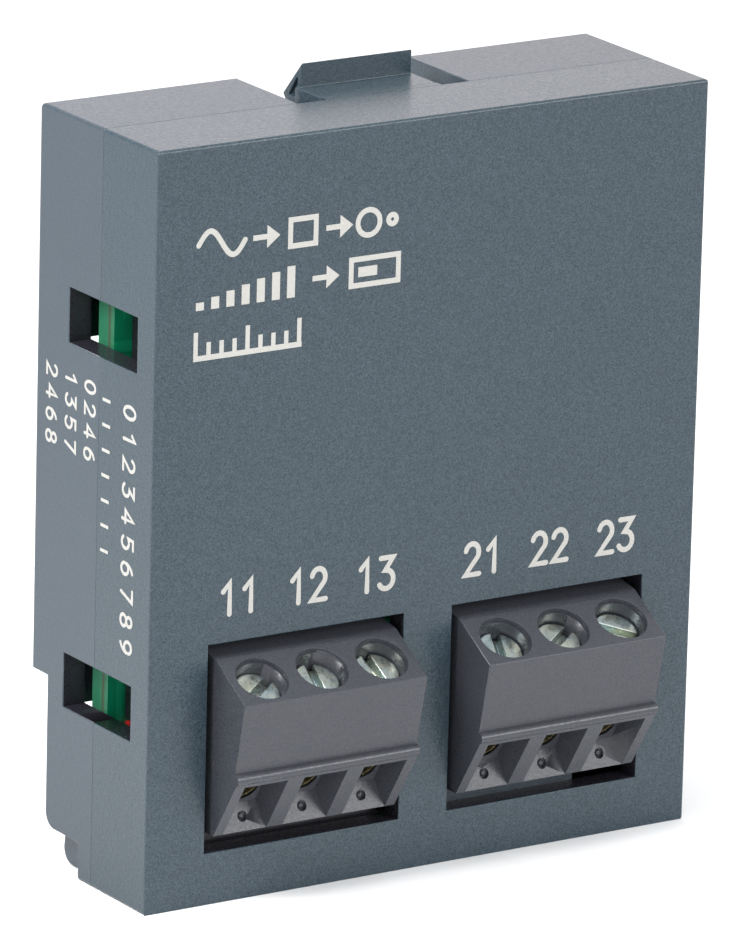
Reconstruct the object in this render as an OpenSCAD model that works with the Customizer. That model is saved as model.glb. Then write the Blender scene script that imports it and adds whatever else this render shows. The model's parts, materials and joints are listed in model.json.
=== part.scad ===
// Plug-in expansion cartridge with two three-way rising-clamp terminal blocks.
// Frame: X runs to the right across the panel, Y from the panel to the rear face, Z up.
// Origin: middle of the footprint of the whole cartridge, on the plane it stands on.
// Inside the modules, Y is counted from the panel; in_place() moves it to the origin.

/* [Housing] */
// Width across the panel
body_w = 35.2; // [35:0.1:37]
// Height from the standing face to the top face
body_h = 42.5; // [42.5:0.1:45]
// Depth from the panel to the rear face
body_d = 12.1; // [12.1:0.1:13]
// Wall thickness of both covers
wall = 1.4; // [1.3:0.05:1.5]
// Depth of the front cover, from the panel to the parting line
split_y = 5.6; // [5.4:0.05:5.8]
// Depth of the foot that the cartridge stands on
foot_d = 7.0; // [6.6:0.1:7.2]
// Height of the ledge under the rear cover
ledge_z = 2.1; // [1.9:0.1:2.2]
// Depth of the rear cover below its step
step_y = 10.5; // [10.4:0.05:10.6]
// Height of the step in the rear face
step_z = 10.7; // [10.5:0.1:11]

/* [Side windows] */
// Distance of the windows behind the panel
window_y = 1.8; // [1.6:0.1:2]
// Length of each window, front to back
window_l = 7.05; // [6.6:0.05:7.2]
// Height of each window
window_h = 3.07; // [2.6:0.01:3.2]
// Height of the lower window's sill
window_low_z = 9.38; // [9:0.02:9.6]
// Height of the upper window's sill
window_high_z = 29.93; // [29.5:0.01:30.2]

/* [Terminal blocks] */
// Distance between the poles of a block
pole_pitch = 3.81; // [3.7:0.01:3.9]
// Distance between the middles of the two blocks
block_spacing = 15.65; // [15.4:0.05:15.8]
// Sideways offset of the pair of blocks from the middle of the panel
block_offset = 0.2; // [0:0.05:0.3]
// Reach of the blocks' ridge in front of the panel
nose = 3.2; // [3.1:0.05:3.3]
// Tilt of the screw faces towards the user, in degrees
tilt = 30; // [29:0.5:31]
// Width of each opening in the panel
opening_w = 12.5; // [12.3:0.1:12.8]
// Height of each opening's lower edge
opening_z = 2.95; // [2.8:0.05:3]
// Height of each opening
opening_h = 11.77; // [11.7:0.01:11.9]
// Screw hole diameter at the slanted face
screw_hole_d = 3.0; // [2.95:0.05:3.05]
// Screw head diameter
head_d = 2.6; // [2.4:0.05:2.65]
// Depth of the screw heads below the slanted face
head_sink = 1.0; // [0.9:0.05:1.1]
// Diameter of the hole that a wire goes into
wire_hole_d = 1.5; // [1.2:0.1:1.6]

/* [Latch] */
// Width of the spring tongue in the top face
tongue_w = 7.4; // [7:0.1:7.6]
// Width of the notch round the tongue
notch_w = 11.0; // [10.6:0.1:11.2]
// Height of the catch above the top face
catch_h = 1.4; // [1.2:0.1:1.5]
// Distance of the catch face behind the panel
catch_y = 8.4; // [8.3:0.1:8.6]

/* [Hidden] */
$fn = 48;

// A cut runs this far past the face it opens
past = 0.5;
// Gap between pieces that are fitted together
fit_gap = 0.05;

// Panel position in the frame of the whole cartridge
panel_y = nose - (body_d + nose) / 2;
half_w = body_w / 2;
inner_half_w = half_w - wall;

// Terminal blocks
poles = 3;
block_w = poles * pole_pitch + 0.2;
block_x = [block_offset - block_spacing / 2, block_offset + block_spacing / 2];
// Middle of the slanted face, where the screw axes cross it
face_mid_y = -1.65;
face_mid_z = 13.0;
block_low_z = 3.93;
block_high_z = 14.95;
block_back_y = 6.65;
// Depths below the slanted face, along a screw
head_t = 1.05;
seat_z = head_sink + head_t;
shaft_d = 2.0;
shaft_end = 5.1;
cage_travel = 1.2;
cage_top = 3.8;
cage_h = 4.1;
cage_plate = 0.65;
cage_half_w = 1.4;
// Reach of a cage in front of and behind its screw axis
cage_front = 1.9;
cage_rear = 1.7;
wire_axis = 6.5;
contact_top = 5.25;
contact_t = 0.4;
pin_d = 0.9;
pin_end_y = 8.95;
// Turn of each screw's slot about its axis, as the screws happen to stand
slot_turns = [31, 84, 92, 75, 31, 148];

// Circuit board
board_y = 6.7;
board_t = 1.6;
board_back_y = board_y + board_t;
board_low_z = 3.7;
board_high_z = 39.1;
board_half_w = inner_half_w - 0.15;

// Latch
latch_x = 0.1;
root_r = 0.45;
root_y = split_y + root_r + fit_gap;
root_z = body_h - root_r;
notch_floor_z = body_h - 2.1;

// Rear connector
bus_x = 0;
bus_z = 24.5;
bus_w = 12.4;
bus_h = 4.6;
bus_pitch = 1.27;
bus_columns = 8;

// Height on the slanted face's plane at a given depth y
function slant_z(y) = face_mid_z + (y - face_mid_y) * tan(tilt);
// Middle of pole i, counted 0 to 5 from the left
function pole_x(i) = block_x[floor(i / poles)] + (i % poles - 1) * pole_pitch;
// Point of a pole's own plane (u behind the screw axis, s below the face) as [y, z]
function below_face(u, s) = [
    face_mid_y + u * cos(tilt) + s * sin(tilt),
    face_mid_z + u * sin(tilt) - s * cos(tilt)];

// Moves a piece from the panel's own frame to the frame of the cartridge
module in_place() {
    translate([0, panel_y, 0]) children();
}

// Extrudes a [y, z] outline sideways by w, centred on x
module across(x, w) {
    translate([x - w / 2, 0, 0]) rotate([90, 0, 90]) linear_extrude(w) children();
}

// Frame of pole i: origin where its screw axis leaves the slanted face, Z out along the screw
module at_pole(i) {
    translate([pole_x(i), face_mid_y, face_mid_z]) rotate([tilt, 0, 0]) children();
}

// Block given by its low and high corners
module span(low, high) {
    translate(low) cube(high - low);
}

// The four window cuts, through both side walls
module window_cuts() {
    for (sill = [window_low_z, window_high_z])
        span([-half_w - past, window_y, sill],
             [half_w + past, window_y + window_l, sill + window_h]);
}

// Outline of the closed housing, seen from the side
module housing_outline() {
    corner_r = 0.9;
    polygon([[0, 0], [foot_d, 0], [foot_d, ledge_z], [step_y - corner_r, ledge_z],
        [step_y - corner_r, ledge_z + corner_r], [step_y, ledge_z + corner_r],
        [step_y, step_z], [body_d, step_z], [body_d, body_h], [0, body_h]]);
    translate([step_y - corner_r, ledge_z + corner_r]) circle(corner_r);
}

// Outline of the space inside both covers, seen from the side
module hollow_outline() {
    rear_wall = 1.3;
    floor_z = ledge_z + 1.2;
    polygon([[wall, wall], [split_y + 0.2, wall], [split_y + 0.2, floor_z],
        [step_y - rear_wall, floor_z], [step_y - rear_wall, step_z + rear_wall],
        [body_d - rear_wall, step_z + rear_wall], [body_d - rear_wall, body_h - wall],
        [wall, body_h - wall]]);
}

// Lip under the terminal block at x; it reaches this far past x, and starts at depth y
module block_lip(x, reach, y) {
    lip_t = 0.6;
    span([x - block_w / 2, y, wall - fit_gap], [x + reach, y + lip_t, block_low_z - 0.15]);
}

module front_cover() {
    pillar_d = 2.4;
    rib_t = 0.7;
    rib_x = half_w - 2.65 - rib_t / 2;
    rib_z = [9, 33.6];
    color([0.30, 0.36, 0.40]) in_place() {
        difference() {
            span([-half_w, 0, 0], [half_w, split_y, body_h]);
            span([-inner_half_w, wall, wall], [inner_half_w, split_y + past, body_h - wall]);
            for (x = block_x)
                span([x - opening_w / 2, -past, opening_z],
                     [x + opening_w / 2, wall + past, opening_z + opening_h]);
            window_cuts();
        }
        // Ribs and pillars that hold the circuit board back
        for (side = [-1, 1])
            span([side * rib_x - rib_t / 2, wall - fit_gap, rib_z[0]],
                 [side * rib_x + rib_t / 2, board_y - fit_gap, rib_z[1]]);
        for (place = [[-13.5, 36], [13.5, 36], [block_offset, 8.5]])
            translate([place[0], wall - fit_gap, place[1]])
                rotate([-90, 0, 0])
                    cylinder(h = board_y - wall, d = pillar_d);
        // The lip under the left-hand block is set back
        block_lip(block_x[1], block_w / 4, wall - fit_gap);
        block_lip(block_x[0], block_w / 2, wall + 0.3);
    }
}

module rear_cover() {
    lip_l = 0.7;
    lip_t = 0.55;
    lip_root = 0.4;
    // The lip ends this far above and below a window
    lip_clear = 1;
    // Depth that the lip's root reaches into the walls
    merge = 0.1;
    hook_w = 6;
    hook_r = 0.8;
    hook_z = 0.12;
    hook_end = 9.9;
    hook_x = half_w - 0.9 - hook_w / 2;
    vent = 4.0;
    vent_x = inner_half_w - vent / 2;
    vent_tops = [window_low_z - 0.1, window_high_z - 0.5];
    liner = 1.0;
    post_w = 1.8;
    post_h = 3;
    post_x = inner_half_w - 0.7;
    // Room round the rear connector
    room = 0.3;
    color([0.29, 0.35, 0.39]) in_place() difference() {
        union() {
            difference() {
                across(0, body_w) housing_outline();
                span([-half_w - past, -past, -past], [half_w + past, split_y, body_h + past]);
                across(0, 2 * inner_half_w) hollow_outline();
            }
            // Lip that enters the front cover
            difference() {
                union() {
                    span([-inner_half_w + fit_gap, split_y - lip_l, wall + fit_gap],
                         [inner_half_w - fit_gap, split_y + lip_root, body_h - wall - fit_gap]);
                    span([-inner_half_w - merge, split_y, wall - merge],
                         [inner_half_w + merge, split_y + lip_root, body_h - wall + merge]);
                }
                span([-inner_half_w + lip_t, split_y - lip_l - past, wall + lip_t],
                     [inner_half_w - lip_t, split_y + past, body_h - wall - lip_t]);
                for (sill = [window_low_z, window_high_z])
                    span([-half_w, split_y - lip_l - past, sill - lip_clear],
                         [half_w, split_y + past, sill + window_h + lip_clear]);
            }
            // Liner of the latch's notch
            span([latch_x - notch_w / 2 - liner, split_y, notch_floor_z - liner],
                 [latch_x + notch_w / 2 + liner, body_d - wall / 2, body_h - wall / 2]);
            // Posts behind the circuit board
            for (side = [-1, 1], z = [18, 35])
                span([side * post_x - post_w / 2, board_back_y + fit_gap, z],
                     [side * post_x + post_w / 2, body_d - wall / 2, z + post_h]);
            // Hooks under the ledge
            for (side = [-1, 1])
                across(side * hook_x, hook_w) {
                    polygon([[foot_d - past, hook_z], [hook_end - hook_r, hook_z],
                        [hook_end - hook_r, ledge_z + past], [foot_d - past, ledge_z + past]]);
                    translate([hook_end - hook_r, hook_z + hook_r]) circle(hook_r);
                    polygon([[hook_end - hook_r, hook_z + hook_r], [hook_end, hook_z + hook_r],
                        [hook_end - 0.2, ledge_z + past], [hook_end - hook_r, ledge_z + past]]);
                }
        }
        // Notch round the latch, open to the rear
        span([latch_x - notch_w / 2, split_y - past, notch_floor_z],
             [latch_x + notch_w / 2, body_d + past, body_h + past]);
        window_cuts();
        // Vents in the rear wall, next to the windows
        for (side = [-1, 1], top = vent_tops)
            span([side * vent_x - vent / 2, board_back_y + 0.2, top - vent],
                 [side * vent_x + vent / 2, body_d + past, top]);
        // Opening for the rear connector
        span([bus_x - bus_w / 2 - room, board_back_y + 0.2, bus_z - bus_h / 2 - room],
             [bus_x + bus_w / 2 + room, body_d + past, bus_z + bus_h / 2 + room]);
    }
}

module release_latch() {
    catch_w = tongue_w - 0.3;
    plate = 0.4;
    heel = [catch_y + 1.85, body_h - 0.65];
    recess = 0.2;
    // Underside of the catch, and the hollow in each end, between front plate and slope
    under_z = body_h - 1.15;
    hollow = [[catch_y + plate, body_h + catch_h - 0.85],
        [heel[0] - 0.62, body_h - 0.62], [catch_y + plate, body_h - 0.62]];
    color([0.31, 0.37, 0.41]) in_place() {
        across(latch_x, tongue_w) {
            translate([root_y, root_z]) circle(root_r);
            polygon([[root_y, body_h - 2 * root_r], [catch_y + plate, body_h - 2 * root_r],
                [catch_y + plate, body_h], [root_y, body_h]]);
        }
        difference() {
            across(latch_x, catch_w)
                polygon([[catch_y, body_h + catch_h], heel, [heel[0] - 0.4, under_z],
                    [catch_y, under_z]]);
            for (side = [-1, 1])
                across(latch_x + side * catch_w / 2, 2 * recess) polygon(hollow);
        }
    }
}

// One rising-clamp block of three poles; first is the number of its first pole
module terminal_block(first) {
    x = pole_x(first + 1);
    ridge = [-nose, slant_z(-nose)];
    lip = [-2.35, 7.7];
    lip_r = 0.3;
    // Upper end of the slanted face, and the neck that passes the opening's upper edge
    brow = [-0.1, slant_z(-0.1)];
    neck = [wall + 0.15, brow[1] + 0.3];
    color([0.16, 0.16, 0.17]) in_place() difference() {
        across(x, block_w) {
            polygon([ridge, lip + [0.02, 0.5], lip + [0.05, lip_r + 0.02],
                lip + [-0.1, -lip_r], [-0.2, block_low_z],
                [block_back_y, block_low_z], [block_back_y, block_high_z],
                [neck[0], block_high_z], neck, brow]);
            translate(lip) circle(lip_r);
        }
        for (i = [first : first + poles - 1]) {
            at_pole(i) {
                // Mouth, bore and seat of the screw
                translate([0, 0, -0.3]) cylinder(h = 1, d = screw_hole_d);
                translate([0, 0, -seat_z - 0.05]) cylinder(h = seat_z, d = head_d + 0.16);
                translate([0, 0, -3]) cylinder(h = 2, d = shaft_d + 0.3);
                // Space that the cage rises and falls in
                span([-cage_half_w - 0.1, -cage_front - 0.15, -cage_top - cage_h - 0.1],
                     [cage_half_w + 0.1, cage_rear + 0.15, -cage_top + cage_travel + 0.1]);
                // Slot for the contact plate
                span([-0.85, 0, -contact_top - contact_t - fit_gap],
                     [0.85, 3.4, -contact_top + fit_gap]);
            }
            wire_funnel(i);
            contact_pin(i, fit_gap);
            // Round mark in the floor of the funnel
            translate([pole_x(i), -0.6, 4.7]) rotate([-90, 0, 0]) cylinder(h = 0.85, d = 0.6);
        }
    }
}

// Funnel from the lower slanted face to the cage of pole i
module wire_funnel(i) {
    mouth_half = 1.48;
    throat_half = 0.98;
    mouth = [[-2.75, 7.2], [-0.33, 3.62]];
    throat = [below_face(-cage_front - 0.1, wire_axis - 1.0),
        below_face(-cage_front - 0.1, wire_axis + 1.0)];
    x = pole_x(i);
    polyhedron(
        points = [
            [x - mouth_half, mouth[0][0], mouth[0][1]], [x + mouth_half, mouth[0][0], mouth[0][1]],
            [x + mouth_half, mouth[1][0], mouth[1][1]], [x - mouth_half, mouth[1][0], mouth[1][1]],
            [x - throat_half, throat[0][0], throat[0][1]],
            [x + throat_half, throat[0][0], throat[0][1]],
            [x + throat_half, throat[1][0], throat[1][1]],
            [x - throat_half, throat[1][0], throat[1][1]]],
        faces = [[0, 1, 2, 3], [7, 6, 5, 4], [0, 4, 5, 1], [1, 5, 6, 2], [2, 6, 7, 3], [3, 7, 4, 0]]);
}

// Pin of contact i through the circuit board, grown by gap
module contact_pin(i, gap) {
    root = below_face(3.0, contact_top + contact_t / 2);
    translate([pole_x(i), root[0] - gap, root[1]])
        rotate([-90, 0, 0])
            cylinder(h = pin_end_y - root[0] + 2 * gap, d = pin_d + 2 * gap);
}

module terminal_contact(i) {
    color([0.80, 0.79, 0.75]) in_place() {
        at_pole(i)
            span([-0.8, -1.25, -contact_top - contact_t], [0.8, 3.3, -contact_top]);
        contact_pin(i, 0);
    }
}

module terminal_screw(i) {
    slot_w = 0.5;
    slot_depth = 0.55;
    color([0.78, 0.80, 0.80]) in_place() at_pole(i) difference() {
        union() {
            translate([0, 0, -seat_z]) cylinder(h = head_t, d = head_d);
            translate([0, 0, -shaft_end]) cylinder(h = shaft_end - seat_z + 0.1, d = shaft_d);
        }
        rotate([0, 0, slot_turns[i]])
            translate([0, 0, -head_sink])
                cube([head_d + 1, slot_w, 2 * slot_depth], center = true);
    }
}

module wire_clamp(i) {
    side = 0.4;
    front = 0.4;
    color([0.80, 0.68, 0.38]) in_place() at_pole(i) difference() {
        span([-cage_half_w, -cage_front, -cage_top - cage_h], [cage_half_w, cage_rear, -cage_top]);
        span([-cage_half_w + side, -cage_front + front, -cage_top - cage_h + cage_plate],
             [cage_half_w - side, cage_rear + past, -cage_top - cage_plate]);
        translate([0, 0, -cage_top - 1]) cylinder(h = 2, d = shaft_d + 0.1);
        translate([0, -cage_front - past, -wire_axis])
            rotate([-90, 0, 0])
                cylinder(h = front + 2 * past, d = wire_hole_d);
    }
}

module circuit_board() {
    color([0.05, 0.35, 0.22]) in_place() difference() {
        span([-board_half_w, board_y, board_low_z], [board_half_w, board_back_y, board_high_z]);
        for (i = [0 : 2 * poles - 1]) contact_pin(i, fit_gap);
    }
}

// Chip body with its legs; the body is [w, t, h] and stands on the board's front
module chip(x, z, size, legs, pitch, leg_reach) {
    leg = [0.3, 0.2];
    body_color = [0.10, 0.10, 0.11];
    in_place() {
        color(body_color)
            span([x - size[0] / 2, board_y - fit_gap - size[1], z - size[2] / 2],
                 [x + size[0] / 2, board_y - fit_gap, z + size[2] / 2]);
        color([0.78, 0.78, 0.76])
            for (side = [-1, 1], n = [0 : legs - 1])
                span([x + side * (size[0] / 2 + leg_reach / 2) - leg_reach / 2 - 0.02,
                      board_y - leg[1] - 0.01, z + (n - (legs - 1) / 2) * pitch - leg[0] / 2],
                     [x + side * (size[0] / 2 + leg_reach / 2) + leg_reach / 2 + 0.02,
                      board_y - 0.01, z + (n - (legs - 1) / 2) * pitch + leg[0] / 2]);
    }
}

module power_converter() {
    color([0.12, 0.12, 0.13]) in_place()
        span([-6.2, board_y - 4.6, 30.6], [6.2, board_y - 0.02, 37.9]);
}

module isolator_chip() {
    chip(-9.2, 24.2, [5.2, 2.1, 8.6], 6, 1.27, 1.0);
}

module signal_converter() {
    chip(1.6, 25.0, [4.4, 1.1, 6.5], 9, 0.65, 0.9);
}

module memory_chip() {
    chip(10.8, 20.6, [3.9, 1.4, 4.9], 4, 1.27, 1.0);
}

module tantalum_capacitors() {
    color([0.85, 0.62, 0.16]) in_place()
        for (z = [26.2, 30.6])
            span([8.6, board_y - 2.0, z], [12.2, board_y - 0.02, z + 2.8]);
}

module chip_resistors() {
    color([0.10, 0.10, 0.12]) in_place() {
        for (n = [0 : 5])
            span([-4.6 + 2.2 * n, board_y - 0.55, 17.6], [-3.35 + 2.2 * n, board_y - 0.02, 19.6]);
        for (n = [0 : 2])
            span([-11.2, board_y - 0.55, 30.4 + 1.8 * n], [-9.2, board_y - 0.02, 31.65 + 1.8 * n]);
    }
}

module chip_capacitors() {
    color([0.66, 0.55, 0.40]) in_place() {
        for (n = [0 : 2])
            span([6.9 + 1.8 * n, board_y - 0.85, 35.2], [8.15 + 1.8 * n, board_y - 0.02, 37.2]);
        for (n = [0 : 2])
            span([-13.95, board_y - 0.85, 18.4 + 2.2 * n], [-13.05, board_y - 0.02, 20.0 + 2.2 * n]);
    }
}

module indicator_diode() {
    color([0.65, 0.12, 0.10]) in_place()
        span([-14.95, board_y - 0.5, 8.3], [-13.95, board_y - 0.02, 8.8]);
}

// Places of the rear connector's contacts, counted from its middle
function bus_place(column, row) =
    [bus_x + (column - (bus_columns - 1) / 2) * bus_pitch, bus_z + (row - 0.5) * bus_pitch];

module bus_connector() {
    hole = 0.66;
    color([0.14, 0.14, 0.15]) in_place() difference() {
        span([bus_x - bus_w / 2, board_back_y + fit_gap, bus_z - bus_h / 2],
             [bus_x + bus_w / 2, body_d - 0.2, bus_z + bus_h / 2]);
        for (column = [0 : bus_columns - 1], row = [0, 1])
            translate([bus_place(column, row)[0] - hole / 2, board_back_y + 0.4,
                       bus_place(column, row)[1] - hole / 2])
                cube([hole, body_d, hole]);
    }
}

module bus_contacts() {
    side = 0.4;
    color([0.83, 0.69, 0.36]) in_place()
        for (column = [0 : bus_columns - 1], row = [0, 1])
            translate([bus_place(column, row)[0] - side / 2, board_back_y + 0.45,
                       bus_place(column, row)[1] - side / 2])
                cube([side, body_d - board_back_y - 1.4, side]);
}

front_cover();
rear_cover();
release_latch();
circuit_board();
terminal_block(0);  // left_terminal_block
terminal_block(poles);  // right_terminal_block
for (i = [0 : 2 * poles - 1]) {
    terminal_screw(i);
    wire_clamp(i);
    terminal_contact(i);
}
bus_connector();
bus_contacts();
power_converter();
isolator_chip();
signal_converter();
memory_chip();
tantalum_capacitors();
chip_resistors();
chip_capacitors();
indicator_diode();
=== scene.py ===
"""Looks of a plug-in expansion cartridge with two screw terminal blocks."""

import json
import math

import bmesh
import bpy
from mathutils import Matrix, Vector


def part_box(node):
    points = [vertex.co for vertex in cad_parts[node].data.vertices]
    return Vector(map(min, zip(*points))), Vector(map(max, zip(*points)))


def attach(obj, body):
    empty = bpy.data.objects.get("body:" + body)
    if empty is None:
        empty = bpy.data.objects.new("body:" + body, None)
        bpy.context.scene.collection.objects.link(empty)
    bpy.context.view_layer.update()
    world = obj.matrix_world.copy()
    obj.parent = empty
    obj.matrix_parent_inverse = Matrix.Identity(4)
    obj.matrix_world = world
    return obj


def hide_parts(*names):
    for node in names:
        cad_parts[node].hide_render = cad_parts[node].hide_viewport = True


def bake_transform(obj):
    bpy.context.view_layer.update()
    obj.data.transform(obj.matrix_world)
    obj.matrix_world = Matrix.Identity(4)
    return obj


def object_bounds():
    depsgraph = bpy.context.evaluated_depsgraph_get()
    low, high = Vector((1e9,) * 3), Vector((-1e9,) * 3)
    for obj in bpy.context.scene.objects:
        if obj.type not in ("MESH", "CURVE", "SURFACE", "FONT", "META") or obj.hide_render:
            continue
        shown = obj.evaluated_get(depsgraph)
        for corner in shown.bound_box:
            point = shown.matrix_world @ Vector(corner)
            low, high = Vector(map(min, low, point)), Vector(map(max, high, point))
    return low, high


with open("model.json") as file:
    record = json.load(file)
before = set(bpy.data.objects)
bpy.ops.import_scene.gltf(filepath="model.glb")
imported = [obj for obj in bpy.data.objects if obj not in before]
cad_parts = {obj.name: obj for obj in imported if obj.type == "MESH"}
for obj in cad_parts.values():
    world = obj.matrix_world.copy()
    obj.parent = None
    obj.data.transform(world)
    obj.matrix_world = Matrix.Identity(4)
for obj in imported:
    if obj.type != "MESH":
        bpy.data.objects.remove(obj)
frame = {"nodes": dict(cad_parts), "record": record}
cad_low, cad_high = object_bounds()

MM = 0.001
NODES = frame["nodes"]
RECORD = frame["record"]

# ---------------------------------------------------------------- measures

front_low, front_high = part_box("front_cover")
board_low, board_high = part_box("circuit_board")
latch_low, latch_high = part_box("release_latch")
block_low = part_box("right_terminal_block")[0]
panel_y = front_low.y
rear_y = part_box("rear_cover")[1].y
left_x, right_x = front_low.x, front_high.x
foot_z, top_z = front_low.z, front_high.z
# Parting line of the covers, and the faces of the rear cover's stepped back
split_y = panel_y + 5.6 * MM
foot_back_y = panel_y + 7.0 * MM
step_y = panel_y + 10.5 * MM
step_z = foot_z + 10.7 * MM
ledge_z = foot_z + 2.1 * MM
notch_floor_z = top_z - 2.1 * MM

JOINTS = {joint["name"]: joint for joint in RECORD["behaviour"]["joints"]}
MOUNTS = {mount["name"]: mount for mount in RECORD["mounts"]}
POLES = range(1, 7)
TILT = math.radians(30)
# Directions of a pole: out of the screw hole, and up its slanted face
SCREW_OUT = Vector((0, -math.sin(TILT), math.cos(TILT)))
FACE_UP = Vector((0, math.cos(TILT), math.sin(TILT)))


def screw_place(pole):
    """Point where a screw's axis leaves the slanted face."""
    return Vector(JOINTS[f"screw_{pole}_turn"]["pos_m"])


def wire_place(pole):
    """Point on the axis of a pole's wire hole, in the front wall of its cage."""
    return Vector(MOUNTS[f"wire_entry_{pole}"]["pos_m"])


# ---------------------------------------------------------------- camera and light

CAMERA_AZIMUTH = math.radians(-33.03)
CAMERA_ELEVATION = math.radians(16.31)
CAMERA_ROLL = math.radians(1.5)
CAMERA_DISTANCE = 520.8 * MM
CAMERA_LENS = 360.5
AIM_RIGHT = 0.20 * MM
AIM_DOWN = 0.42 * MM


def direction(azimuth, elevation):
    """Unit vector from the object towards a place at that azimuth and elevation."""
    level = math.cos(elevation)
    return Vector((math.sin(azimuth) * level, -math.cos(azimuth) * level, math.sin(elevation)))


def make_camera():
    back = direction(CAMERA_AZIMUTH, CAMERA_ELEVATION)
    right = (-back).cross(Vector((0, 0, 1))).normalized()
    up = right.cross(-back)
    tilted_right = right * math.cos(CAMERA_ROLL) + up * math.sin(CAMERA_ROLL)
    tilted_up = -right * math.sin(CAMERA_ROLL) + up * math.cos(CAMERA_ROLL)
    housing_low = Vector((left_x, panel_y, foot_z))
    housing_high = Vector((right_x, rear_y, top_z))
    aim = (housing_low + housing_high) / 2 + tilted_right * AIM_RIGHT - tilted_up * AIM_DOWN
    data = bpy.data.cameras.new("camera")
    data.lens = CAMERA_LENS
    data.clip_start = 0.02
    data.clip_end = 20
    camera = bpy.data.objects.new("camera", data)
    turn = Matrix((tilted_right, tilted_up, back)).transposed().to_4x4()
    camera.matrix_world = Matrix.Translation(aim + back * CAMERA_DISTANCE) @ turn
    bpy.context.scene.collection.objects.link(camera)
    bpy.context.scene.camera = camera


def make_light(name, azimuth, elevation, distance, size, power, colour=(1, 1, 1)):
    """Soft light aimed at the middle of the object: degrees, metres and watts."""
    data = bpy.data.lights.new(name, "AREA")
    data.shape = "RECTANGLE"
    data.size, data.size_y = size
    data.energy = power
    data.color = colour
    light = bpy.data.objects.new(name, data)
    back = direction(math.radians(azimuth), math.radians(elevation))
    light.location = (cad_low + cad_high) / 2 + back * distance
    light.rotation_mode = "QUATERNION"
    light.rotation_quaternion = back.to_track_quat("Z", "Y")
    light.visible_camera = False
    bpy.context.scene.collection.objects.link(light)


def make_surroundings():
    scene = bpy.context.scene
    scene.view_settings.view_transform = "Standard"
    world = bpy.data.worlds.new("studio")
    world.use_nodes = True
    background = world.node_tree.nodes["Background"]
    background.inputs["Color"].default_value = (0.97, 0.985, 1, 1)
    background.inputs["Strength"].default_value = 1.0
    scene.world = world
    mesh = bpy.data.meshes.new("floor")
    reach = 3.0
    corners = [(-reach, -reach, 0), (reach, -reach, 0), (reach, reach, 0), (-reach, reach, 0)]
    mesh.from_pydata(corners, [], [(0, 1, 2, 3)])
    floor = bpy.data.objects.new("floor", mesh)
    scene.collection.objects.link(floor)
    paper = Finish("floor_paper", {"Roughness": 0.9, "Specular IOR Level": 0.1})
    shade = paper.noise(6.0)
    paper.feed("Base Color", paper.mix(shade, (0.93, 0.935, 0.94), (0.96, 0.96, 0.96)))
    mesh.materials.append(paper.material)
    make_light("key_softbox", 35, 23, 0.5, (0.24, 0.18), 1.08)
    make_light("front_softbox", -6, 7, 0.6, (0.4, 0.2), 0.22)
    make_light("left_softbox", -85, 45, 0.13, (0.06, 0.06), 0.2)
    make_light("rear_right_softbox", 150, 20, 0.6, (0.5, 0.35), 0.38, (1, 0.84, 0.84))
    make_light("overhead_softbox", 10, 75, 0.7, (0.4, 0.4), 0.6)


# ---------------------------------------------------------------- materials


class Finish:
    """A procedural material while it is being built: a Principled shader and what feeds it."""

    def __init__(self, name, constants):
        self.material = bpy.data.materials.new(name)
        self.material.use_nodes = True
        self.tree = self.material.node_tree
        self.shader = self.tree.nodes["Principled BSDF"]
        for socket, value in constants.items():
            self.shader.inputs[socket].default_value = value

    def add(self, kind, settings=(), inputs=()):
        """Adds a node; an input is a value or another node's output."""
        node = self.tree.nodes.new(kind)
        for name, value in dict(settings).items():
            setattr(node, name, value)
        for name, value in dict(inputs).items():
            if isinstance(value, bpy.types.NodeSocket):
                self.tree.links.new(value, node.inputs[name])
            else:
                node.inputs[name].default_value = value
        return node

    def feed(self, socket, value):
        self.tree.links.new(value, self.shader.inputs[socket])

    def place(self):
        return self.add("ShaderNodeTexCoord").outputs["Object"]

    def flat_place(self):
        return self.add("ShaderNodeTexCoord").outputs["UV"]

    def noise(self, scale, detail=2.0, stretch=None):
        where = self.place()
        if stretch:
            where = self.add("ShaderNodeMapping", {}, {"Vector": where, "Scale": stretch}).outputs[0]
        inputs = {"Vector": where, "Scale": scale, "Detail": detail}
        return self.add("ShaderNodeTexNoise", {}, inputs).outputs[0]

    def cells(self, scale):
        inputs = {"Vector": self.place(), "Scale": scale}
        return self.add("ShaderNodeTexVoronoi", {}, inputs).outputs["Distance"]

    def remap(self, value, low, high, new_low, new_high):
        inputs = {0: value, 1: low, 2: high, 3: new_low, 4: new_high}
        return self.add("ShaderNodeMapRange", {}, inputs).outputs[0]

    def math(self, operation, a, b=0.0):
        return self.add("ShaderNodeMath", {"operation": operation}, {0: a, 1: b}).outputs[0]

    def parts(self, vector):
        node = self.add("ShaderNodeSeparateXYZ", {}, {0: vector})
        return node.outputs[0], node.outputs[1], node.outputs[2]

    def mix(self, factor, a, b):
        inputs = {0: factor}
        for slot, colour in ((6, a), (7, b)):
            inputs[slot] = colour if isinstance(colour, bpy.types.NodeSocket) else (*colour, 1)
        return self.add("ShaderNodeMix", {"data_type": "RGBA"}, inputs).outputs[2]

    def bump(self, height, strength, distance, before=None):
        inputs = {"Height": height, "Strength": strength, "Distance": distance}
        if before:
            inputs["Normal"] = before
        return self.add("ShaderNodeBump", {}, inputs).outputs[0]


def shades(colour, dark, light):
    """A darker and a lighter shade of a colour."""
    return tuple(c * dark for c in colour), tuple(c * light for c in colour)


# How much each channel of a speckled polymer varies: red varies most, so that the grain keeps
# the hue that the gloss adds grey to
SPECKLE_CHANNELS = (1, 0.75, 0.65)
SPECKLE_SHARE = 0.7
# The speckle is finer than the grain of the tool by this factor, and its pits are coarser
SPECKLE_FINER = 2.2
PITS_COARSER = 0.55
DRIFT_SCALE = 180.0
ROUGHNESS_SPREAD = 0.06


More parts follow.
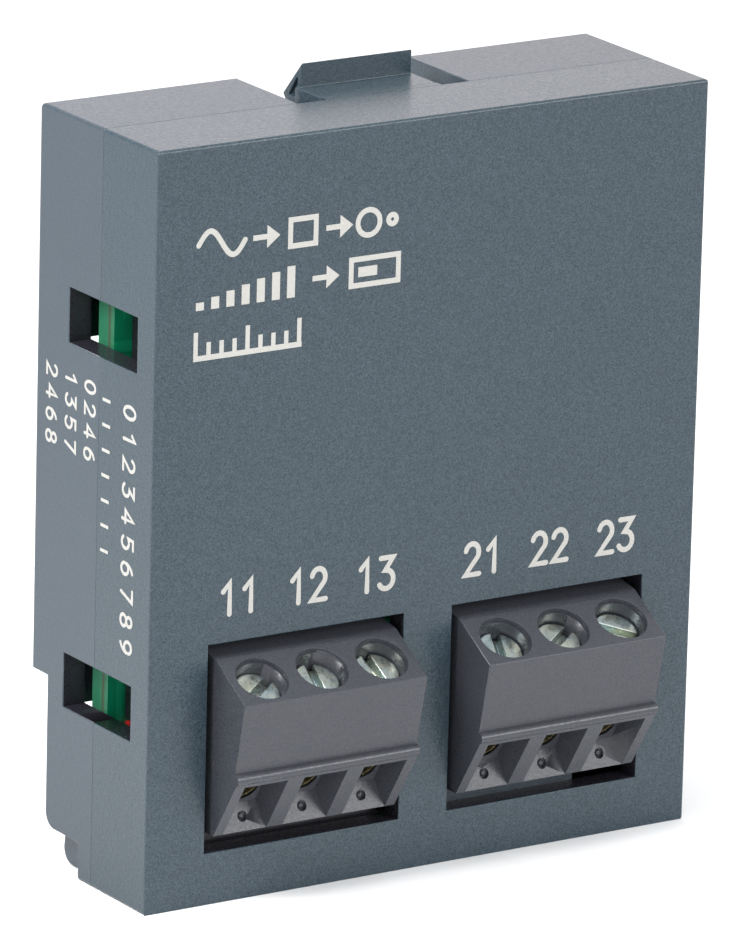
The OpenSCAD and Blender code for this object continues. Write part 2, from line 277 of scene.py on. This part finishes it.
def moulded_plastic(name, colour, roughness, grain, grain_depth, speckle=0.0):
    """Moulded polymer with the eroded texture of its tool: fine grain, slow tone changes."""
    finish = Finish(name, {"IOR": 1.5, "Specular IOR Level": 0.45})
    drift = finish.noise(DRIFT_SCALE, 3.0)
    fine = finish.noise(grain, 4.0)
    pits = finish.cells(grain * PITS_COARSER)
    dark, light = shades(colour, 0.93, 1.07)
    tone = finish.mix(finish.remap(drift, 0.3, 0.7, 0, 1), dark, light)
    if speckle:
        channels = list(zip(colour, SPECKLE_CHANNELS))
        dark, light = (tuple(c * (1 + side * speckle * share) for c, share in channels)
                       for side in (-1, 1))
        sparkle = finish.remap(finish.noise(grain * SPECKLE_FINER, 1.0), 0.35, 0.65, 0, 1)
        tone = finish.mix(SPECKLE_SHARE, tone, finish.mix(sparkle, dark, light))
    finish.feed("Base Color", tone)
    finish.feed("Roughness", finish.remap(fine, 0.3, 0.7, roughness - ROUGHNESS_SPREAD,
                                          roughness + ROUGHNESS_SPREAD))
    rough = finish.bump(fine, 0.5, grain_depth)
    finish.feed("Normal", finish.bump(pits, 0.35, grain_depth, rough))
    return finish.material


TINT_SCALE = 900.0
SCRATCH_SCALE = 4000.0
SCRATCH_STRETCH = (1.0, 0.25, 1.0)
SCRATCH_DEPTH = 6e-6
RING_DEPTH = 4e-6


def plated_metal(name, colour, tint, roughness, ring_pitch=0.0):
    """Plated metal: slow tint of the passivation, fine tool marks, and rings where a face was turned."""
    finish = Finish(name, {"Metallic": 1.0})
    drift = finish.noise(TINT_SCALE, 3.0)
    finish.feed("Base Color", finish.mix(finish.remap(drift, 0.35, 0.65, 0, 1), colour, tint))
    scratch = finish.noise(SCRATCH_SCALE, 5.0, SCRATCH_STRETCH)
    finish.feed("Roughness", finish.remap(scratch, 0.3, 0.7, roughness - 0.08, roughness + 0.1))
    marks = finish.bump(scratch, 0.35, SCRATCH_DEPTH)
    if ring_pitch:
        u, v, _ = finish.parts(finish.flat_place())
        radius = finish.math("SQRT", finish.math("ADD", finish.math("MULTIPLY", u, u),
                                                 finish.math("MULTIPLY", v, v)))
        ring = finish.math("SINE", finish.math("MULTIPLY", radius, math.tau / ring_pitch))
        marks = finish.bump(ring, 0.25, RING_DEPTH, marks)
    finish.feed("Normal", marks)
    return finish.material


LANE_PITCH = 1.3 * MM
ROW_PITCH = 2.1 * MM
TRACK_DEPTH = 2e-5
CLOUD_DEPTH = 6e-6
# Depth of the bronze inner layer in the board's cut edge, as a share of its thickness
INNER_LAYER = 0.3


def solder_mask():
    """Green solder mask over buried tracks, with bare laminate at the edges."""
    finish = Finish("solder_mask", {"IOR": 1.5, "Coat Weight": 0.3, "Coat Roughness": 0.15})
    where = finish.place()
    x, y, z = finish.parts(where)
    lanes = finish.math("SINE", finish.math("MULTIPLY", x, math.tau / LANE_PITCH))
    rows = finish.math("SINE", finish.math("MULTIPLY", z, math.tau / ROW_PITCH))
    warp = finish.noise(260.0, 0.0)
    choose = finish.remap(warp, 0.48, 0.52, 0, 1)
    lane_track = finish.remap(lanes, 0.55, 0.65, 0, 1)
    row_track = finish.remap(rows, 0.55, 0.65, 0, 1)
    track = finish.math("ADD", finish.math("MULTIPLY", lane_track, choose),
                        finish.math("MULTIPLY", row_track, finish.math("SUBTRACT", 1.0, choose)))
    green = finish.mix(track, (0.0, 0.27, 0.12), (0.004, 0.36, 0.17))
    cloudy = finish.noise(2600.0, 4.0)
    glass = finish.mix(cloudy, (0.008, 0.13, 0.06), (0.04, 0.20, 0.11))
    depth = finish.remap(y, board_low.y, board_high.y, 0, 1)
    inner = finish.remap(finish.math("ABSOLUTE", finish.math("SUBTRACT", depth, INNER_LAYER)),
                         0.05, 0.11, 1, 0)
    bronze = finish.mix(cloudy, (0.075, 0.075, 0.045), (0.045, 0.065, 0.038))
    edge = finish.mix(finish.math("MULTIPLY", inner, 0.85), glass, bronze)
    normal = finish.add("ShaderNodeNewGeometry").outputs["True Normal"]
    facing = finish.math("ABSOLUTE", finish.parts(normal)[1])
    finish.feed("Base Color", finish.mix(finish.remap(facing, 0.4, 0.6, 0, 1), edge, green))
    finish.feed("Roughness", finish.remap(cloudy, 0.3, 0.7, 0.3, 0.42))
    relief = finish.bump(track, 0.6, TRACK_DEPTH)
    finish.feed("Normal", finish.bump(cloudy, 0.2, CLOUD_DEPTH, relief))
    return finish.material


def make_materials():
    return {
        "front": moulded_plastic("front_cover_grain", (0.028, 0.046, 0.060), 0.31, 7000, 2.2e-5, 0.85),
        "rear": moulded_plastic("rear_cover_grain", (0.036, 0.052, 0.068), 0.34, 7000, 1.4e-5, 0.6),
        # Darker colour of the covers' inner walls, ribs and cut edges: painted shade where little light
        # reaches
        "inside": moulded_plastic("housing_inside", (0.019, 0.018, 0.024), 0.3, 9000, 2e-6),
        "terminal": moulded_plastic("terminal_satin", (0.042, 0.045, 0.054), 0.31, 8000, 1.2e-5, 0.6),
        "zinc": plated_metal("zinc_plate", (0.60, 0.72, 0.74), (0.78, 0.80, 0.66), 0.28, 0.09),
        "brass": plated_metal("clamp_plate", (0.74, 0.64, 0.40), (0.62, 0.54, 0.34), 0.30),
        "tin": plated_metal("tin_plate", (0.72, 0.71, 0.66), (0.62, 0.62, 0.60), 0.35),
        "gold": plated_metal("gold_flash", (0.93, 0.68, 0.25), (0.88, 0.62, 0.2), 0.25),
        "board": solder_mask(),
        "connector": moulded_plastic("connector_black", (0.016, 0.016, 0.018), 0.42, 7000, 3e-6),
        "potting": moulded_plastic("potting_case", (0.018, 0.018, 0.021), 0.3, 5000, 4e-6),
        "chip": moulded_plastic("chip_compound", (0.022, 0.022, 0.024), 0.5, 14000, 5e-6),
        "tantalum": moulded_plastic("tantalum_case", (0.62, 0.33, 0.05), 0.4, 12000, 3e-6),
        "glaze": moulded_plastic("resistor_glaze", (0.014, 0.014, 0.018), 0.2, 12000, 2e-6),
        "ceramic": moulded_plastic("ceramic_body", (0.34, 0.22, 0.12), 0.3, 14000, 2e-6, 0.2),
        "diode": moulded_plastic("diode_lens", (0.45, 0.02, 0.02), 0.2, 9000, 2e-6),
        "ink": moulded_plastic("printed_ink", (0.41, 0.40, 0.375), 0.55, 16000, 2e-6, 0.2),
    }


# ---------------------------------------------------------------- mesh helpers

WELD = 0.002 * MM
FLAT = math.radians(0.6)
SHARP = math.radians(28)
ON_FACE = 0.01 * MM


def settle(obj, finish, body, *stands_for):
    """Gives a piece its material and its body, and hides the CAD nodes it stands for."""
    obj.data.materials.clear()
    obj.data.materials.append(finish)
    if body:
        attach(obj, body)
    if stands_for:
        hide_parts(*stands_for)


def object_from(bm, name):
    mesh = bpy.data.meshes.new(name)
    bm.to_mesh(mesh)
    bm.free()
    obj = bpy.data.objects.new(name, mesh)
    bpy.context.scene.collection.objects.link(obj)
    return obj


def bake_modifiers(obj):
    """Replaces an object's mesh by what its modifiers make of it."""
    graph = bpy.context.evaluated_depsgraph_get()
    mesh = bpy.data.meshes.new_from_object(obj.evaluated_get(graph))
    obj.modifiers.clear()
    obj.data = mesh
    return obj


def welded(node):
    """Clean copy of a CAD node's mesh: joined corners and whole flat faces."""
    bm = bmesh.new()
    bm.from_mesh(NODES[node].data)
    bmesh.ops.remove_doubles(bm, verts=bm.verts, dist=WELD)
    bmesh.ops.dissolve_limit(bm, angle_limit=FLAT, verts=bm.verts, edges=bm.edges)
    bm.normal_update()
    return bm


def smoothed(obj):
    """Smooth shading that leaves flat faces flat and keeps what is still sharp."""
    for face in obj.data.polygons:
        face.use_smooth = True
    obj.data.set_sharp_from_angle(angle=SHARP)
    shade = obj.modifiers.new("shade", "WEIGHTED_NORMAL")
    shade.keep_sharp = True
    return bake_modifiers(obj)


def rounded(bm, name, radius_of, segments=3):
    """Piece with its sharp edges rounded; radius_of(edge) gives an edge's radius."""
    layer = bm.edges.layers.float.new("bevel_weight_edge")
    edges = [e for e in bm.edges if len(e.link_faces) == 2 and e.calc_face_angle(0) > SHARP]
    radii = {edge: radius_of(edge) for edge in edges}
    largest = max(radii.values())
    for edge, radius in radii.items():
        edge[layer] = radius / largest
    obj = object_from(bm, name)
    bevel = obj.modifiers.new("round", "BEVEL")
    bevel.limit_method = "WEIGHT"
    bevel.width = largest
    bevel.segments = segments
    bevel.use_clamp_overlap = False
    bevel.miter_outer = "MITER_ARC"
    return smoothed(bake_modifiers(obj))


def at(value, target):
    return abs(value - target) < ON_FACE


def shared(edge, tests):
    """Names of the planes that both ends of an edge lie on."""
    return {name for name, test in tests.items() if all(test(v.co) for v in edge.verts)}


# ---------------------------------------------------------------- housing

# Roundings of the housing: edges of its sides, long top and foot edges, upright front
# edges, edges of the stepped back, rims of openings, and the parting line
CORNER_R = 0.20 * MM
LONG_R = 0.26 * MM
UPRIGHT_R = 0.16 * MM
STEP_R = 0.08 * MM
RIM_R = 0.06 * MM
SEAM_R = 0.035 * MM
STEP_ARC = 0.9 * MM
SKIN = 0.15 * MM
# Depth of the pale lip under the right-hand block, which is left out of the painted shade of the inner
# faces
LIP_DEPTH = 1.35 * MM

HOUSING_PLANES = {
    "side": lambda p: at(p.x, left_x) or at(p.x, right_x),
    "top": lambda p: at(p.z, top_z),
    "foot": lambda p: at(p.z, foot_z),
    "panel": lambda p: at(p.y, panel_y),
    "rear": lambda p: at(p.y, rear_y),
    "seam": lambda p: at(p.y, split_y),
}


def on_stepped_back(place):
    """True below and behind the foot, up to the housing's full depth."""
    low = place.z < ledge_z + STEP_ARC + ON_FACE
    behind_step = place.y > step_y - ON_FACE and place.z < step_z + ON_FACE
    return place.y > foot_back_y - ON_FACE and (low or behind_step)


def cover_radius(edge):
    planes = shared(edge, HOUSING_PLANES)
    if "seam" in planes:
        return SEAM_R if len(planes) > 1 else 0
    if all(on_stepped_back(vertex.co) for vertex in edge.verts):
        return STEP_R if "side" in planes else 0
    if len(planes) < 2:
        return RIM_R if planes else 0
    if "side" in planes:
        return UPRIGHT_R if "panel" in planes else CORNER_R
    return LONG_R


def in_notch(place):
    return place.z > notch_floor_z - SKIN and place.y > split_y - ON_FACE


def is_inside(place):
    """True for a place on the covers' walls, ribs and cut edges, behind the outer skin: these faces get
    the darker colour of painted shade.
    """
    # The lip under the right-hand block keeps the outer colour, without painted shade
    if at(place.y, panel_y + LIP_DEPTH) and foot_z + SKIN < place.z < block_low.z:
        return False
    behind_skin = (left_x + SKIN < place.x < right_x - SKIN and foot_z + SKIN < place.z < top_z - SKIN
                   and panel_y + SKIN < place.y < rear_y - SKIN)
    on_step = place.y > step_y - SKIN and place.z < step_z + SKIN
    on_ledge = place.z < ledge_z + SKIN and place.y > foot_back_y - SKIN
    return behind_skin and not (in_notch(place) or on_step or on_ledge)


def make_covers(materials):
    for node in ("front_cover", "rear_cover"):
        piece = rounded(welded(node), node + "_shell", cover_radius)
        settle(piece, materials[node.split("_")[0]], "housing", node)
        # Second finish: the darker colour of painted shade, for the inner faces
        piece.data.materials.append(materials["inside"])
        for face in piece.data.polygons:
            face.material_index = int(is_inside(face.center))


TONGUE_R = 0.07 * MM
TONGUE_SLICES = 14
# The tongue is cut into slices from just behind the parting line to its catch, the length over which it
# bends
CATCH_LENGTH = 1.9 * MM


def make_latch(materials):
    """Spring tongue that grows out of the front cover, with its catch, cut into slices along its length.
    """
    bm = welded("release_latch")
    root_y = JOINTS["latch_press"]["pos_m"][1]
    everything = bm.verts[:] + bm.edges[:] + bm.faces[:]
    bmesh.ops.bisect_plane(bm, geom=everything, plane_co=(0, root_y, 0), plane_no=(0, 1, 0),
                           clear_inner=True)
    rim = [edge for edge in bm.edges if edge.is_boundary]
    grown = bmesh.ops.extrude_edge_only(bm, edges=rim)["geom"]
    for vertex in grown:
        if isinstance(vertex, bmesh.types.BMVert):
            vertex.co.y = split_y
    bmesh.ops.edgeloop_fill(bm, edges=[edge for edge in bm.edges if edge.is_boundary])
    tongue_end = latch_high.y - CATCH_LENGTH
    for step in range(1, TONGUE_SLICES):
        slice_y = split_y + (tongue_end - split_y) * step / TONGUE_SLICES
        everything = bm.verts[:] + bm.edges[:] + bm.faces[:]
        bmesh.ops.bisect_plane(bm, geom=everything, plane_co=(0, slice_y, 0), plane_no=(0, 1, 0))
    bmesh.ops.recalc_face_normals(bm, faces=bm.faces)

    def radius(edge):
        return 0 if "seam" in shared(edge, HOUSING_PLANES) else TONGUE_R

    piece = rounded(bm, "spring_tongue_catch", radius)
    settle(piece, materials["front"], None, "release_latch")
    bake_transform(piece)


# ---------------------------------------------------------------- terminals

BLOCK_R = 0.07 * MM
HOLE_R = 0.035 * MM
LONG_EDGE = 1.0 * MM
# The upright face leans back below the ridge, and the mouths face down and forward
UPRIGHT_LEAN = math.radians(12.6)
UPRIGHT_OUT = Vector((0, -math.cos(UPRIGHT_LEAN), -math.sin(UPRIGHT_LEAN)))
MOUTH_OUT = Vector((0, -0.839, -0.544))
# The mouths' lower edge stands this far in front of the panel
MOUTH_PROUD = 0.2 * MM


def block_planes(node, pole):
    """Planes of a terminal block's outer faces; pole is its first one."""
    low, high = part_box(node)
    face = screw_place(pole)
    ridge = Vector((0, low.y, 0))
    ridge.z = face.z + (ridge.y - face.y) * math.tan(TILT)
    wire = wire_place(pole)
    mouth_edge = Vector((0, panel_y - MOUTH_PROUD, low.z))
    return {
        "slant": lambda p: abs((p - face).dot(SCREW_OUT)) < ON_FACE and p.y < wire.y,
        "upright": lambda p: abs((p - ridge).dot(UPRIGHT_OUT)) < 3 * ON_FACE,
        "mouth": lambda p: abs((p - mouth_edge).dot(MOUTH_OUT)) < ON_FACE,
        "side": lambda p: at(p.x, low.x) or at(p.x, high.x),
    }


def make_blocks(materials):
    for side, pole in (("left", 1), ("right", 4)):
        node = side + "_terminal_block"
        planes = block_planes(node, pole)

        def radius(edge):
            found = shared(edge, planes)
            if found == {"slant"}:
                return HOLE_R
            long = len(found) >= 2 and edge.calc_length() > LONG_EDGE
            return BLOCK_R if long and "mouth" not in found else 0

        piece = rounded(welded(node), node + "_moulding", radius, 2)
        settle(piece, materials["terminal"], "housing", node)


THROAT_HALF_W = 1.02 * MM
THROAT_HALF_H = 1.05 * MM
THROAT_HOLE_R = 0.79 * MM
THROAT_T = 0.08 * MM
# The throat wall stands this far in front of the point on the wire axis
THROAT_LEAD = 0.33 * MM
ROUND_STEPS = 48


def make_throats(materials):
    """Thin wall at the back of each funnel, with the round hole that leads into the cage."""
    bm = bmesh.new()
    for pole in POLES:
        centre = wire_place(pole) - FACE_UP * THROAT_LEAD
        rings = []
        for depth in (-THROAT_T / 2, THROAT_T / 2):
            for square in (False, True):
                ring = []
                for step in range(ROUND_STEPS):
                    turn = math.tau * (step + 0.5) / ROUND_STEPS
                    across, up = math.cos(turn), math.sin(turn)
                    reach = THROAT_HOLE_R
                    if square:
                        reach = min(THROAT_HALF_W / abs(across), THROAT_HALF_H / abs(up))
                    place = centre + FACE_UP * depth + SCREW_OUT * (up * reach)
                    ring.append(bm.verts.new(place + Vector((across * reach, 0, 0))))
                rings.append(ring)
        front_hole, front_edge, back_hole, back_edge = rings
        for a, b in ((front_hole, front_edge), (front_edge, back_edge),
                     (back_edge, back_hole), (back_hole, front_hole)):
            for step in range(ROUND_STEPS):
                after = (step + 1) % ROUND_STEPS
                bm.faces.new((a[step], a[after], b[after], b[step]))
    bmesh.ops.recalc_face_normals(bm, faces=bm.faces)
    settle(smoothed(object_from(bm, "funnel_throats")), materials["terminal"], "housing")


DIMPLE_Z = 4.7 * MM
DIMPLE_Y = 0.25 * MM
DOME_R = 0.19 * MM
DOME_SQUAT = 0.8


def make_domes(materials):
    """Low dome in the round mark on the floor of each funnel."""
    bm = bmesh.new()
    for pole in POLES:
        centre = Vector((screw_place(pole).x, panel_y + DIMPLE_Y, foot_z + DIMPLE_Z))
        squat = Matrix.Translation(centre) @ Matrix.Diagonal((1, DOME_SQUAT, 1, 1))
        bmesh.ops.create_uvsphere(bm, u_segments=20, v_segments=12, radius=DOME_R, matrix=squat)
    settle(smoothed(object_from(bm, "funnel_marks")), materials["terminal"], "housing")


SCREW_R = 0.06 * MM
CLAMP_R = 0.06 * MM


def make_terminals(materials):
    make_blocks(materials)
    make_throats(materials)
    make_domes(materials)
    for pole in POLES:
        node = f"terminal_screw_{pole}"
        piece = rounded(welded(node), f"slotted_screw_{pole}", lambda edge: SCREW_R)
        unwrap_across(piece, screw_place(pole))
        settle(piece, materials["zinc"], f"screw_{pole}", node)
        node = f"wire_clamp_{pole}"
        piece = rounded(welded(node), f"rising_cage_{pole}", lambda edge: CLAMP_R, 2)
        settle(piece, materials["brass"], f"clamp_{pole}", node)


def unwrap_across(obj, origin):
    """UVs in millimetres across a screw's axis, for its turning marks."""
    layer = obj.data.uv_layers.new(name="across_axis")
    for loop in obj.data.loops:
        offset = (obj.data.vertices[loop.vertex_index].co - origin) / MM
        layer.data[loop.index].uv = (offset.x, offset.dot(FACE_UP))


# ---------------------------------------------------------------- print

# Millimetres, like everything that a Print is given. A stroke climbs a little from corner to
# corner, so that it doesn't share a plane with itself where it crosses
INK_T = 0.022
INK_SUNK = 0.01
CLIMB = 0.00015
CAP = 1.75
STROKE = 0.30
# Least cosine that a band's mitre is worked out with, so that a sharp corner makes no spike
MITRE_FLOOR = 0.5
CAP_STEPS = 6
RING_STEPS = 32
WAVE_STEPS = 28
# Half height of an arrow's head as a share of a capital's, and its length as a share of that half
HEAD_HALF = 0.36
HEAD_LENGTH = 1.3


def bow(u, v, across, up, start, end, steps=12):
    """Points of an elliptic arc about (u, v), between two angles in degrees."""
    turns = [math.radians(start + (end - start) * n / steps) for n in range(steps + 1)]
    return [(u + across * math.cos(t), v + up * math.sin(t)) for t in turns]


DIGIT_W = 0.6
DIGIT_PITCH = 0.86
SIX = bow(0.62, 0.31, 0.60, 0.69, 108, 180, 8)[:-1] + bow(0.30, 0.31, 0.28, 0.31, 180, -170, 20)
# One stroke of each digit, DIGIT_W wide and 1 high
DIGITS = {
    "0": bow(0.3, 0.5, 0.29, 0.5, 90, -260, 24),
    "1": [(0.10, 0.74), (0.36, 1.0), (0.36, 0.0)],
    "2": bow(0.3, 0.71, 0.27, 0.29, 165, -30) + [(0.03, 0.0), (0.6, 0.0)],
    "3": [(0.05, 1.0), (0.55, 1.0), (0.24, 0.6)] + bow(0.27, 0.3, 0.3, 0.3, 70, -150),
    "4": [(0.44, 0.0), (0.44, 1.0), (0.0, 0.28), (0.6, 0.28)],
    "5": [(0.54, 1.0), (0.1, 1.0), (0.06, 0.56)] + bow(0.28, 0.32, 0.3, 0.32, 110, -145),
    "6": SIX,
    "7": [(0.02, 1.0), (0.58, 1.0), (0.2, 0.0)],
    "8": bow(0.3, 0.76, 0.23, 0.24, -90, 260, 18) + bow(0.3, 0.26, 0.28, 0.26, 80, -260, 20),
    "9": [(DIGIT_W - u, 1 - v) for u, v in SIX],
}


class Print:
    """Flat marks while they are drawn, in millimetres across and up a face."""

    def __init__(self):
        self.bm = bmesh.new()

    def fill(self, outline):
        self.bm.faces.new([self.bm.verts.new((u, v, 0)) for u, v in outline])

    def line(self, path, width=STROKE, closed=False):
        """Band of even width along a path."""
        count = len(path)
        edges = []
        for n, (u, v) in enumerate(path):
            before = Vector(path[n - 1] if closed or n else path[0])
            after = Vector(path[(n + 1) % count] if closed or n + 1 < count else path[-1])
            here = Vector((u, v))
            ways = [way.normalized() for way in (here - before, after - here) if way.length > 0]
            along = sum(ways, Vector((0, 0))).normalized()
            share = max(along.dot(ways[0]), MITRE_FLOOR)
            offset = Vector((-along.y, along.x)) * (width / 2 / share)
            edges.append([self.bm.verts.new((*(here + side * offset), n * CLIMB)) for side in (-1, 1)])
        for n in range(count if closed else count - 1):
            a, b = edges[n], edges[(n + 1) % count]
            self.bm.faces.new((a[0], b[0], b[1], a[1]))
        if not closed:
            self.cap(path[0], edges[0][1], edges[0][0])
            self.cap(path[-1], edges[-1][0], edges[-1][1])

    def cap(self, middle, first, last):
        """Half disc on the end of a band, turning anticlockwise from its first corner to its last."""
        centre = Vector((*middle, first.co.z))
        spoke = first.co - centre
        turns = [math.pi * n / CAP_STEPS for n in range(1, CAP_STEPS)]
        rim = [Matrix.Rotation(turn, 3, "Z") @ spoke for turn in turns]
        self.bm.faces.new([first, *(self.bm.verts.new(centre + s) for s in rim), last])

    def bar(self, u, v, width, height):
        self.fill([(u, v), (u + width, v), (u + width, v + height), (u, v + height)])

    def box(self, u, v, width, height):
        half = STROKE / 2
        self.line([(u + half, v + half), (u + width - half, v + half),
                   (u + width - half, v + height - half), (u + half, v + height - half)], closed=True)

    def ring(self, u, v, radius):
        turns = [math.tau * n / RING_STEPS for n in range(RING_STEPS)]
        self.line([(u + radius * math.cos(t), v + radius * math.sin(t)) for t in turns], closed=True)

    def wave(self, u, v, width, height):
        steps = [n / WAVE_STEPS for n in range(WAVE_STEPS + 1)]
        reach = (height - STROKE) / 2
        self.line([(u + width * s, v + height / 2 + reach * math.sin(math.tau * s)) for s in steps])

    def arrow(self, u, v, length, height):
        middle, head, half = v + height / 2, height * HEAD_HALF, STROKE / 2
        neck = u + length - head * HEAD_LENGTH
        self.fill([(u, middle - half), (neck, middle - half), (neck, middle - head),
                   (u + length, middle), (neck, middle + head), (neck, middle + half),
                   (u, middle + half)])

    def digits(self, text, height, u, v, squeeze=1.0, turn=0.0):
        """Digits centred on (u, v)."""
        place = Matrix.Translation((u, v, 0)) @ Matrix.Rotation(turn, 4, "Z")
        for n, digit in enumerate(text):
            start = (n - (len(text) - 1) / 2) * DIGIT_PITCH - DIGIT_W / 2
            path = [place @ Vector(((start + a) * squeeze * height, (b - 0.5) * height, 0))
                    for a, b in DIGITS[digit]]
            self.line([(point.x, point.y) for point in path], STROKE * height / CAP)

    def finish(self, name, origin, across, up, out):
        """Thin raised layer on a face; across, up and out are the face's directions."""
        raised = bmesh.ops.extrude_face_region(self.bm, geom=self.bm.faces[:], use_keep_orig=True)
        for element in raised["geom"]:
            if isinstance(element, bmesh.types.BMVert):
                element.co.z += INK_T
        for vertex in self.bm.verts:
            u, v, w = vertex.co
            vertex.co = origin + (across * u + up * v + out * (w - INK_SUNK)) * MM
        bmesh.ops.recalc_face_normals(self.bm, faces=self.bm.faces)
        return object_from(self.bm, name)


# Heights of the three rows of pictograms, and what repeats in them
ROWS = (36.2, 33.5, 30.7)
ARROW_W = 1.7
METER_STEPS = 7
METER_PITCH = 0.95
RULER_W = 6.8
RULER_TICKS = 9
RULER_PITCH = 0.8125
# Numbers over the terminals: their height up the panel, their spacing as a share of the poles',
# and their width as a share of the digits' own
LABEL_Z = 17.2
LABEL_SPREAD = 1.15
LABEL_SQUEEZE = 0.9


def draw_panel(ink):
    """Three rows of pictograms at the upper left, and a number over each terminal."""
    first, second, third = ROWS
    ink.wave(2.6, first, 2.9, CAP)
    ink.arrow(6.0, first, ARROW_W, CAP)
    ink.box(8.2, first, 1.9, CAP)
    ink.arrow(10.6, first, ARROW_W, CAP)
    ink.ring(13.3, first + CAP / 2, 0.7)
    ink.ring(14.8, first + CAP / 2, 0.25)
    for step in range(METER_STEPS):
        ink.bar(2.5 + METER_PITCH * step, second, 0.5, CAP * (step + 2) / (METER_STEPS + 1))
    ink.arrow(9.8, second, ARROW_W, CAP)
    ink.box(12.1, second, 3.3, CAP)
    ink.bar(12.7, second + 0.6, 1.2, 0.55)
    ink.bar(2.4, third, RULER_W, STROKE)
    for tick in range(RULER_TICKS):
        height = CAP * (0.75 if tick % 4 == 0 else 0.4)
        ink.bar(2.4 + RULER_PITCH * tick, third + STROKE, STROKE * 0.9, height)
    for pole in POLES:
        block = (pole - 1) // 3
        middle = screw_place(3 * block + 2).x
        u = (middle + (screw_place(pole).x - middle) * LABEL_SPREAD - left_x) / MM
        ink.digits(f"{block + 1}{(pole - 1) % 3 + 1}", CAP, u, LABEL_Z, LABEL_SQUEEZE)


# Columns of the side print: their places across the wall, upper ends, pitches and digit heights
SCALE_U = -2.4
SCALE_TOP = 27.6
SCALE_PITCH = 1.45
SCALE_H = 1.15
DASH_U = -5.2
DASH_PITCH = 1.4
DASH_W = 0.8
DASH_T = 0.18
TABLE_US = (-6.5, -8.5, -10.5)
TABLE_TOP = 28.0
TABLE_PITCH = 1.25
TABLE_H = 1.05


def draw_side(ink):
    """Columns of small digits and dashes that run down the left wall, read from its rear edge."""
    down = -math.pi / 2
    for n in range(10):
        ink.digits(str(n), SCALE_H, SCALE_U, SCALE_TOP - SCALE_PITCH * n, turn=down)
    for n in range(7):
        ink.bar(DASH_U, SCALE_TOP - DASH_PITCH * n, DASH_W, DASH_T)
    for column, u in enumerate(TABLE_US):
        for n in range(4):
            digit = str((column + 2 * n) % 10)
            ink.digits(digit, TABLE_H, u, TABLE_TOP - TABLE_PITCH * n, turn=down)


def make_print(materials):
    ink = Print()
    draw_panel(ink)
    corner = Vector((left_x, panel_y, foot_z))
    marks = ink.finish("panel_print", corner, Vector((1, 0, 0)), Vector((0, 0, 1)), Vector((0, -1, 0)))
    settle(marks, materials["ink"], "housing")
    ink = Print()
    draw_side(ink)
    marks = ink.finish("side_print", corner, Vector((0, -1, 0)), Vector((0, 0, 1)), Vector((-1, 0, 0)))
    settle(marks, materials["ink"], "housing")


# ---------------------------------------------------------------- electronics

# Finish of every other CAD node, and the rounding of its edges in millimetres
ELECTRONICS = {
    "bus_connector": ("connector", 0.06),
    "bus_contacts": ("gold", 0.04),
    "power_converter": ("potting", 0.25),
    "isolator_chip": ("chip", 0.04),
    "signal_converter": ("chip", 0.03),
    "memory_chip": ("chip", 0.04),
    "tantalum_capacitors": ("tantalum", 0.12),
    "chip_resistors": ("glaze", 0.05),
    "chip_capacitors": ("ceramic", 0.06),
    "indicator_diode": ("diode", 0.05),
    **{f"terminal_contact_{pole}": ("tin", 0.05) for pole in POLES},
}


def make_electronics(materials):
    for node, (finish, radius) in ELECTRONICS.items():
        piece = rounded(welded(node), node + "_part", lambda edge: radius * MM, 2)
        settle(piece, materials[finish], "housing", node)
    board = NODES["circuit_board"].data
    board.materials.clear()
    board.materials.append(materials["board"])


# ---------------------------------------------------------------- everything

make_camera()
make_surroundings()
finishes = make_materials()
make_covers(finishes)
make_latch(finishes)
make_terminals(finishes)
make_electronics(finishes)
make_print(finishes)
